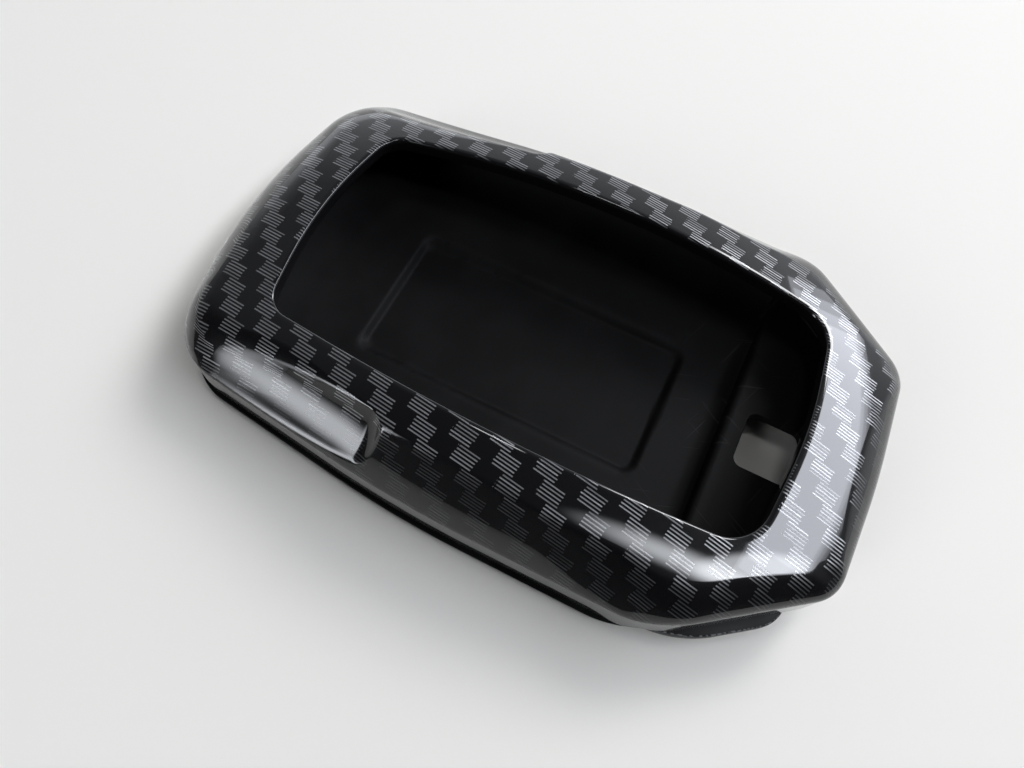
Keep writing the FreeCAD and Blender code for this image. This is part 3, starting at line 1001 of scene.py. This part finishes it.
        index = Term(tree, nodes.new("GeometryNodeInputIndex").outputs[0])
        column = rounds(index, count + 1)
        step = index - column * float(count + 1)
        station = column - rounds(column, stations) * float(stations)
        step = step - rounds(step, count) * float(count)
        sampled = {"step": (step,)}
        for name in ("axis", "reach", "level", "slant"):
            layer = nodes.new("GeometryNodeInputNamedAttribute")
            layer.data_type = "FLOAT_VECTOR"
            layer.inputs["Name"].default_value = name
            sample = nodes.new("GeometryNodeSampleIndex")
            sample.data_type = "FLOAT_VECTOR"
            links.new(given.outputs["Geometry"], sample.inputs["Geometry"])
            links.new(layer.outputs["Attribute"], sample.inputs["Value"])
            links.new(station.socket, sample.inputs["Index"])
            sampled[name] = parted(tree, sample.outputs[0])
        place, growth, flat = self.section(tree, given, sampled)
        x, y, z = self.scallop.carve(place, growth)
        move = nodes.new("GeometryNodeSetPosition")
        links.new(joined(x * MM, y * MM, z * MM), move.inputs["Position"])
        keep = nodes.new("GeometryNodeStoreNamedAttribute")
        keep.data_type = "FLOAT_VECTOR"
        keep.domain = "POINT"
        keep.inputs["Name"].default_value = "weave"
        links.new(grid.outputs["Mesh"], keep.inputs["Geometry"])
        # The weave place's third number is the print's share, with the painted shade on the flank.
        links.new(joined(flat[0] * MM, flat[1] * MM, flat[2]), keep.inputs["Value"])
        links.new(keep.outputs["Geometry"], move.inputs["Geometry"])
        merge = nodes.new("GeometryNodeMergeByDistance")
        merge.inputs["Distance"].default_value = 1e-7
        smooth = nodes.new("GeometryNodeSetShadeSmooth")
        real = nodes.new("GeometryNodeRealizeInstances")
        paint = nodes.new("GeometryNodeSetMaterial")
        links.new(move.outputs["Geometry"], merge.inputs["Geometry"])
        links.new(merge.outputs["Geometry"], smooth.inputs["Geometry"])
        links.new(smooth.outputs["Geometry"], real.inputs["Geometry"])
        links.new(real.outputs["Geometry"], paint.inputs["Geometry"])
        links.new(given.outputs["Finish"], paint.inputs["Material"])
        links.new(paint.outputs["Geometry"], result.inputs["Geometry"])
        return tree

    def build(self) -> bpy.types.Object:
        """Sweep the frame and make it a plain mesh that rides on its body."""
        rail = lone_object("front_frame_gloss", self.rail())
        sweep = rail.modifiers.new("sweep", "NODES")
        sweep.node_group = self.sweep_tree()
        values = {**self.sizes(), "Finish": self.finish.material()}
        for item in sweep.node_group.interface.items_tree:
            if item.in_out == "INPUT" and item.name in values:
                sweep[item.identifier] = values[item.name]
        depsgraph = bpy.context.evaluated_depsgraph_get()
        mesh = bpy.data.meshes.new_from_object(rail.evaluated_get(depsgraph))
        rail.modifiers.clear()
        rail.data = mesh
        shape = bmesh.new()
        shape.from_mesh(mesh)
        if shape.calc_volume(signed=True) < 0:
            bmesh.ops.reverse_faces(shape, faces=shape.faces)
        shape.to_mesh(mesh)
        shape.free()
        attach(rail, Body.FRAME.value)
        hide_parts("front_frame")
        return rail


@dataclass
class BackTray:
    """The black tray with its raised end platform, square hole and corner tabs.

    Attributes:
        lip: How far the lip lies inside the outline at the side, nose and heel, and its height.
        lip_round: How far back and down the lip's rounded edge is at each of its points.
        side_roll: The frame's side roll, the height where it starts and that where it is full.
        profile_steps: The points on the rest, the curve, the wall, the bowl and the floor.
        panel: The sunk panel's ends along X, its half width, its corner radius and its depth.
        platform: The platform's start along X, its height and the radius of its edge.
        recess: The ring's recess, as a cutting block.
        gap: The ring's way out at the nose, as a cutting block.
        hole: The square hole, as a cutting block.
        tab: Where along X the tabs start, how far they stand out, their underside and their top.
        tab_inset: How far the tabs lie inside the outline's sides and ends.
    """

    outline: CoverOutline = field(default_factory=CoverOutline)
    finish: TrayFinish = field(default_factory=TrayFinish)
    ring: SectionRing = SectionRing(480)
    lip: tuple[float, float, float, float] = (-0.45, 1.0, 0.4, 1.6)
    lip_round: tuple[tuple[float, float], ...] = ((0.0, 0.2), (0.04, 0.07), (0.15, 0.0))
    rest_inset: float = 7.0
    wall_outer: float = 1.95
    wall_inner: float = 3.15
    wall_height: float = 5.3
    wall_round: float = 0.3
    side_roll: tuple[float, float, float] = (7.4, 3.3, 15.2)
    floor_height: float = 1.5
    floor_inset: float = 13.0
    profile_steps: tuple[int, int, int, int, int] = (7, 12, 7, 34, 30)
    panel: tuple[float, float, float, float, float] = (-21.0, 15.5, 9.0, 1.5, 0.8)
    panel_slope: tuple[float, float] = (-0.5, 0.6)
    platform: tuple[float, float, float] = (22.8, 4.5, 0.8)
    platform_foot: float = 0.75
    platform_sink: float = 0.6
    platform_margin: float = 0.05
    platform_steps: tuple[int, int] = (9, 40)
    cut_bottom: float = -2.0
    recess: tuple[float, float, float, float, float] = (24.4, 36.75, 7.5, 2.0, 3.3)
    gap: tuple[float, float, float, float, float] = (34.0, 44.0, 5.0, 0.3, 3.0)
    hole: tuple[float, float, float, float, float] = (25.2, 31.8, 3.6, 1.1, 9.0)
    tab: tuple[float, float, float, float] = (22.9, 1.1, 0.7, 3.0)
    tab_ring: SectionRing = SectionRing(1600)
    tab_root: float = 2.4
    tab_inset: tuple[float, float] = (1.0, 3.0)
    tab_roll: float = 0.8
    tab_round: float = 0.25
    tab_least: float = 0.3
    crease_angle: float = math.radians(38.0)

    def lean(self, z: float) -> float:
        """How far the wall leans inwards with the frame's long sides."""
        roll, base, top = self.side_roll
        return roll * max(0.0, (z - base) / (top - base)) ** 2

    def profile(self, start: np.ndarray, heading: np.ndarray) -> tuple[np.ndarray, np.ndarray, int]:
        """The tray's section at every station, from the middle of its underside to that of its floor.

        Args:
            start: Each section's x on the axis.
            heading: Each section's direction.

        Returns:
            The sections' reaches and heights, and the step where the inside starts.
        """
        side, nose, heel, top = self.lip
        rest_steps, curve_steps, wall_steps, bowl_steps, floor_steps = self.profile_steps

        def reach(a: float, b: float, c: float) -> np.ndarray:
            """The outline's reach after it has moved inwards."""
            return self.outline.moved_in(a, b, c).reach(start, heading)

        rows = []
        rest = reach(side + self.rest_inset, nose + self.rest_inset, heel + self.rest_inset)
        for share in np.linspace(0, 1, rest_steps)[:-1]:
            rows.append((rest * share, 0.0))
        for angle in np.linspace(0, math.pi / 2, curve_steps)[:-1]:
            lean = self.rest_inset * (1 - math.sin(angle))
            rows.append((reach(side + lean, nose + lean, heel + lean), top * (1 - math.cos(angle))))
        edge = reach(side, nose, heel)
        rows += [(edge - back, top - down) for back, down in self.lip_round]
        rows.append((reach(self.wall_outer, self.wall_outer, self.wall_outer), top))
        for z in np.linspace(top, self.wall_height - self.wall_round, wall_steps)[1:]:
            rows.append((reach(self.wall_outer + self.lean(z), self.wall_outer, self.wall_outer), z))
        tilt = self.lean(self.wall_height)
        outer = reach(self.wall_outer + tilt, self.wall_outer, self.wall_outer)
        inner = reach(self.wall_inner + tilt, self.wall_inner, self.wall_inner)
        bend = self.wall_round
        rows += [
            (outer - bend * 0.3, self.wall_height - bend * 0.3),
            (outer - bend, self.wall_height),
            (inner + bend, self.wall_height),
            (inner + bend * 0.3, self.wall_height - bend * 0.2),
        ]
        inside = len(rows)
        rise = self.wall_height - self.floor_height
        for angle in np.linspace(math.pi / 2, 0, bowl_steps):
            inset = self.wall_inner + self.floor_inset * (1 - math.sin(angle))
            z = self.floor_height + rise * (1 - math.cos(angle))
            z = min(z, self.wall_height - bend * 0.6)
            rows.append((reach(inset + tilt, inset, inset), z))
        edge = rows[-1][0]
        for share in np.linspace(1, 0, floor_steps)[1:]:
            rows.append((edge * share, self.floor_height))
        reaches = np.array([row[0] for row in rows])
        heights = np.array([np.full_like(start, row[1]) for row in rows])
        return reaches, heights, inside

    def floor_features(self, x: np.ndarray, y: np.ndarray, z: np.ndarray) -> np.ndarray:
        """The inside's height with the sunk panel.

        Args:
            x: Places along the cover.
            y: Places across it.
            z: The bowl's own height there.

        Returns:
            The height with the panel.
        """
        low, high, half, radius, depth = self.panel
        along = np.abs(x - (low + high) / 2) - (high - low) / 2 + radius
        across = np.abs(y) - half + radius
        beyond = np.hypot(np.maximum(along, 0), np.maximum(across, 0))
        outside = beyond + np.minimum(np.maximum(along, across), 0)
        return z - depth * eased(share_of(radius - outside, *self.panel_slope))

    def platform_block(self) -> bpy.types.Object:
        """The raised end platform with its rounded front edge, as a block that reaches into the wall."""
        start, height, radius = self.platform
        front_steps, flat_steps = self.platform_steps
        inset = self.wall_outer + self.platform_sink
        tip = self.outline.length / 2 - inset - self.platform_margin
        turns = np.linspace(0, math.pi / 2, front_steps)
        flat = np.linspace(start + radius, tip, flat_steps)[1:]
        along = np.concatenate([start + radius * (1 - np.cos(turns)), flat])
        tops = np.concatenate([height - radius * (1 - np.sin(turns)), np.full_like(flat, height)])
        drawn = self.outline.moved_in(inset, inset, inset)
        half = drawn.reach(along, np.tile([0.0, 1.0], (len(along), 1)))
        foot = self.platform_foot
        places = []
        for x, wide, top in zip(along, half, tops):
            places += [(x, -wide, foot), (x, wide, foot), (x, wide, top), (x, -wide, top)]
        faces = [(0, 3, 2, 1)]
        for here in range(0, len(places) - 4, 4):
            beyond = here + 4
            for side in range(4):
                after = (side + 1) % 4
                faces.append((here + side, here + after, beyond + after, beyond + side))
        last = len(places) - 4
        faces.append((last, last + 1, last + 2, last + 3))
        mesh = bpy.data.meshes.new("platform_block")
        mesh.from_pydata([tuple(v * MM for v in place) for place in places], [], faces)
        self.outward(mesh)
        return lone_object("platform_block", mesh)

    def shell(self) -> bpy.types.Mesh:
        """The tray's closed shell, before the hole and the ring's recess are cut."""
        start, heading = self.ring.rays(self.outline)
        reaches, heights, inside = self.profile(start, heading)
        x = start + reaches * heading[:, 0]
        y = reaches * heading[:, 1]
        bowl = self.floor_features(x[inside:], y[inside:], heights[inside:])
        heights[inside:] = np.minimum(bowl, self.wall_height)
        rows, count = x.shape
        mesh = bpy.data.meshes.new("tray_shell")
        places = np.stack([x, y, heights], axis=2).reshape(-1, 3) * MM
        faces = []
        for row in range(rows - 1):
            here = row * count
            beyond = here + count
            for column in range(count):
                after = (column + 1) % count
                faces.append((here + column, here + after, beyond + after, beyond + column))
        mesh.from_pydata(places.tolist(), [], faces)
        satin = np.zeros((rows, count), dtype=np.float32)
        satin[:inside] = 1.0
        mesh.attributes.new("satin", "FLOAT", "POINT").data.foreach_set("value", satin.ravel())
        return mesh

    def block(self, name: str, form: tuple[float, float, float, float, float]) -> bpy.types.Object:
        """A cutting block with rounded upright edges.

        Args:
            name: The block's name.
            form: Its ends along X, its half width, its corner radius and its top.

        Returns:
            The block's object.
        """
        low, high, half, radius, top = form
        ring = []
        for middle_x, middle_y, first in (
            (high - radius, half - radius, 0.0),
            (low + radius, half - radius, 90.0),
            (low + radius, radius - half, 180.0),
            (high - radius, radius - half, 270.0),
        ):
            for turn in np.radians(np.linspace(first, first + 90.0, 9)):
                ring.append((middle_x + radius * math.cos(turn), middle_y + radius * math.sin(turn)))
        places = [(x * MM, y * MM, z * MM) for z in (self.cut_bottom, top) for x, y in ring]
        size = len(ring)
        faces = [tuple(reversed(range(size))), tuple(range(size, 2 * size))]
        faces += [(i, (i + 1) % size, size + (i + 1) % size, size + i) for i in range(size)]
        mesh = bpy.data.meshes.new(name)
        mesh.from_pydata(places, [], faces)
        return lone_object(name, mesh)

    def tabs(self) -> bpy.types.Mesh:
        """The rounded tabs that stand out under the relieved skirt at both chamfers."""
        first, out, low, top = self.tab
        root, roll, bend = self.tab_root, self.tab_roll, self.tab_round
        side, end = self.tab_inset
        start, heading = self.tab_ring.rays(self.outline)
        inner = self.outline.moved_in(root, root, root).reach(start, heading)
        outer = self.outline.moved_in(side, end, end, -out).reach(start, heading)
        rolled = self.outline.moved_in(side + roll, end + roll, end + roll, roll - out)
        under = rolled.reach(start, heading)
        place = start + outer * heading[:, 0]
        chosen = (place > first) & (outer > inner + self.tab_least) & (heading[:, 1] > 0)
        start, heading = start[chosen], heading[chosen]
        inner, outer, under = inner[chosen], outer[chosen], under[chosen]
        ring = [
            (inner, low),
            (under, low),
            (under + (outer - under) * 0.55, low + 0.15),
            (under + (outer - under) * 0.85, low + 0.4),
            (outer, low + roll),
            (outer, top - bend),
            (outer - bend * 0.3, top - bend * 0.3),
            (outer - bend, top),
            (inner, top),
        ]
        places, faces = [], []
        count = len(start)
        for mirror in (1.0, -1.0):
            base = len(places)
            starts = [base + row * count for row in range(len(ring))]
            for reach, z in ring:
                x = start + reach * heading[:, 0]
                y = reach * heading[:, 1] * mirror
                places += [(a * MM, b * MM, z * MM) for a, b in zip(x, y)]
            for here, beyond in zip(starts, starts[1:] + starts[:1]):
                for column in range(count - 1):
                    after = column + 1
                    faces.append((here + column, here + after, beyond + after, beyond + column))
            faces.append(tuple(starts))
            faces.append(tuple(here + count - 1 for here in starts))
        mesh = bpy.data.meshes.new("tray_tabs")
        mesh.from_pydata(places, [], faces)
        satin = np.ones(len(places), dtype=np.float32)
        mesh.attributes.new("satin", "FLOAT", "POINT").data.foreach_set("value", satin)
        return mesh

    @staticmethod
    def outward(mesh: bpy.types.Mesh) -> None:
        """Merge a mesh's doubles and turn its faces outwards."""
        shape = bmesh.new()
        shape.from_mesh(mesh)
        bmesh.ops.remove_doubles(shape, verts=shape.verts, dist=1e-7)
        bmesh.ops.dissolve_degenerate(shape, edges=shape.edges, dist=1e-7)
        bmesh.ops.recalc_face_normals(shape, faces=shape.faces)
        if shape.calc_volume(signed=True) < 0:
            bmesh.ops.reverse_faces(shape, faces=shape.faces)
        shape.to_mesh(mesh)
        shape.free()

    def build(self) -> bpy.types.Object:
        """Make the shell, cut it, add its tabs and dress it."""
        mesh = self.shell()
        self.outward(mesh)
        tray = lone_object("back_tray_black", mesh)
        tools = [
            self.platform_block(),
            self.block("ring_recess_tool", self.recess),
            self.block("ring_gap_tool", self.gap),
            self.block("ring_hole_tool", self.hole),
        ]
        for tool in tools:
            cut = tray.modifiers.new(tool.name, "BOOLEAN")
            cut.operation = "UNION" if tool is tools[0] else "DIFFERENCE"
            cut.solver = "EXACT"
            cut.object = tool
        depsgraph = bpy.context.evaluated_depsgraph_get()
        body = bpy.data.meshes.new_from_object(tray.evaluated_get(depsgraph))
        tray.modifiers.clear()
        for tool in tools:
            bpy.data.objects.remove(tool)
        tabs = self.tabs()
        self.outward(tabs)
        shape = bmesh.new()
        shape.from_mesh(body)
        shape.from_mesh(tabs)
        shape.to_mesh(body)
        shape.free()
        body.materials.clear()
        body.materials.append(self.finish.material())
        body.shade_smooth()
        body.set_sharp_from_angle(angle=self.crease_angle)
        tray.data = body
        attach(tray, Body.TRAY.value)
        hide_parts("back_tray")
        return tray


@dataclass(frozen=True)
class SoftBox:
    """A soft-edged bright patch in the surround, like a softbox far away."""

    heading: tuple[float, float, float]
    spread: tuple[float, float]
    core: float
    glow: float
    turn: float = 0.0

    def lit(self, x: Term, y: Term, z: Term) -> Term:
        """The patch's light in a direction.

        Args:
            x: The direction's first number.
            y: Its second number.
            z: Its third number.

        Returns:
            The light.
        """
        middle = Vector(self.heading).normalized()
        level = Vector((0, 0, 1)).cross(middle).normalized()
        upright = middle.cross(level)
        spin = Matrix.Rotation(math.radians(self.turn), 3, middle)
        level = spin @ level
        upright = spin @ upright

        def along(axis: Vector) -> Term:
            """The direction's length along an axis."""
            return x * axis.x + y * axis.y + z * axis.z

        depth = along(middle).most(0.05)
        wide = along(level) / depth / math.tan(math.radians(self.spread[0]))
        tall = along(upright) / depth / math.tan(math.radians(self.spread[1]))
        off = (wide * wide + tall * tall).root()
        return (1.0 - off.ramp(self.core, 1.0)) * self.glow


@dataclass(frozen=True)
class PanelLamp:
    """A panel lamp that faces the cover, in layers that soften its edge."""

    name: str
    place: tuple[float, float, float]
    size: tuple[float, float]
    glow: float
    along: tuple[float, float, float] = (1.0, 0.0, 0.0)
    colour: tuple[float, float, float] = (0.975, 0.985, 1.0)
    layers: tuple[float, ...] = (0.76, 0.86, 0.96, 1.06)
    layer_gap: float = 0.05

    def hang(self) -> None:
        """Hang the lamp's layers, one behind another."""
        out = Vector(self.place).normalized()
        distance = Vector(self.place).length
        upright = out.cross(Vector(self.along)).normalized()
        turn = Matrix((upright.cross(out), upright, out)).transposed().to_4x4()
        for share in self.layers:
            data = bpy.data.lights.new(self.name, "AREA")
            data.shape = "RECTANGLE"
            data.size = self.size[0] * share
            data.size_y = self.size[1] * share
            data.energy = math.pi * data.size * data.size_y * self.glow / len(self.layers)
            data.color = self.colour
            lamp = bpy.data.objects.new(self.name, data)
            lamp.matrix_world = Matrix.Translation(out * (distance + share * self.layer_gap)) @ turn
            bpy.context.scene.collection.objects.link(lamp)


@dataclass
class Studio:
    """The pale floor, the soft lamps and the camera."""

    camera_place: tuple[float, float, float] = (10.24, -42.22, 85.51)
    forward: tuple[float, float, float] = (-0.1301, 0.4004, -0.9071)
    upward: tuple[float, float, float] = (-0.4247, 0.8041, 0.4159)
    focal_pixels: float = 760.0
    frame_pixels: float = 1024.0
    floor_size: float = 3.0
    floor_colour: tuple[float, float, float] = (0.786, 0.768, 0.724)
    floor_roughness: float = 0.9
    floor_specular: float = 0.1
    surround_colour: tuple[float, float, float] = (0.92, 0.95, 1.0)
    far_glow: float = 0.9
    back_glow: float = 0.2
    skyline_glow: float = 1.1
    edge_glow: float = 0.04
    least_glow: float = 0.012
    boxes: tuple[SoftBox, ...] = (
        SoftBox((0.42, -0.113, 0.90), (20.0, 3.2), 0.1, 12.0, -66.0),
        SoftBox((0.54, -0.03, 0.84), (11.0, 3.4), 0.5, 11.0, -43.0),
        SoftBox((-0.484, -0.775, 0.407), (6.5, 27.0), 0.2, 10.5),
    )
    lamps: tuple[PanelLamp, ...] = (
        PanelLamp(
            "window_panel", (0.653, 0.536, 0.808), (1.51, 0.216), 12.4,
            along=(-0.251, 0.851, -0.463), colour=(0.88, 0.91, 1.0),
        ),
        PanelLamp("main_panel", (0.21, 0.545, 0.46), (0.25, 0.25), 17.0),
        PanelLamp("top_panel", (-0.06, 0.06, 0.60), (0.10, 0.10), 12.0),
    )

    def camera(self) -> None:
        """A camera at the photograph's view."""
        data = bpy.data.cameras.new("view")
        data.sensor_width = 36.0
        data.lens = data.sensor_width * self.focal_pixels / self.frame_pixels
        data.clip_start = 0.005
        data.clip_end = 20.0
        camera = bpy.data.objects.new("view", data)
        bpy.context.scene.collection.objects.link(camera)
        back = -Vector(self.forward).normalized()
        right = Vector(self.upward).cross(back).normalized()
        up = back.cross(right)
        turn = Matrix((right, up, back)).transposed()
        camera.matrix_world = Matrix.Translation(Vector(self.camera_place) * MM) @ turn.to_4x4()
        bpy.context.scene.camera = camera

    def floor(self) -> None:
        """A plain pale floor."""
        mesh = bpy.data.meshes.new("floor")
        half = self.floor_size / 2
        corners = [(-half, -half, 0), (half, -half, 0), (half, half, 0), (-half, half, 0)]
        mesh.from_pydata(corners, [], [(0, 1, 2, 3)])
        made = bpy.data.materials.new("pale_floor")
        made.use_nodes = True
        shader = made.node_tree.nodes["Principled BSDF"]
        shader.inputs["Base Color"].default_value = (*self.floor_colour, 1.0)
        shader.inputs["Roughness"].default_value = self.floor_roughness
        shader.inputs["Specular IOR Level"].default_value = self.floor_specular
        mesh.materials.append(made)
        lone_object("floor", mesh)

    def world(self) -> None:
        """The surround: pale low on the far side and dim elsewhere, with the soft boxes."""
        world = bpy.data.worlds.new("surround")
        world.use_nodes = True
        tree = world.node_tree
        ground = tree.nodes["Background"]
        place = tree.nodes.new("ShaderNodeTexCoord")
        x, y, z = parted(tree, place.outputs["Generated"])
        far = (y + x * 0.15).ramp(0.0, 0.95) * (1.0 - z.ramp(0.25, 0.62))
        back = y.ramp(-0.2, 0.1) * (1.0 - z.ramp(0.86, 0.985))
        skyline = (y * 0.866 - x * 0.5).ramp(0.72, 0.97) * (1.0 - z.ramp(0.14, 0.34))
        edge = 1.0 - z.ramp(0.06, 0.3)
        glow = far * self.far_glow + back * self.back_glow + skyline * self.skyline_glow
        glow = glow + edge * self.edge_glow + self.least_glow
        for box in self.boxes:
            glow = glow + box.lit(x, y, z)
        shade = tree.nodes.new("ShaderNodeCombineColor")
        for channel, share in zip(shade.inputs[:3], self.surround_colour):
            tree.links.new((glow * share).socket, channel)
        tree.links.new(shade.outputs[0], ground.inputs["Color"])
        bpy.context.scene.world = world

    def build(self) -> None:
        """Set the whole stage."""
        self.camera()
        self.floor()
        self.world()
        for lamp in self.lamps:
            lamp.hang()
        bpy.context.scene.view_settings.view_transform = "Standard"


def main() -> None:
    """Build the cover and its stage, and log each piece's faces."""
    logging.basicConfig(level=logging.INFO)
    for maker in (FrontFrame(), BackTray()):
        piece = maker.build()
        piece.data.update()
        log.info("%s: %d faces", piece.name, len(piece.data.polygons))
    Studio().build()


if __name__ == "__main__":
    main()
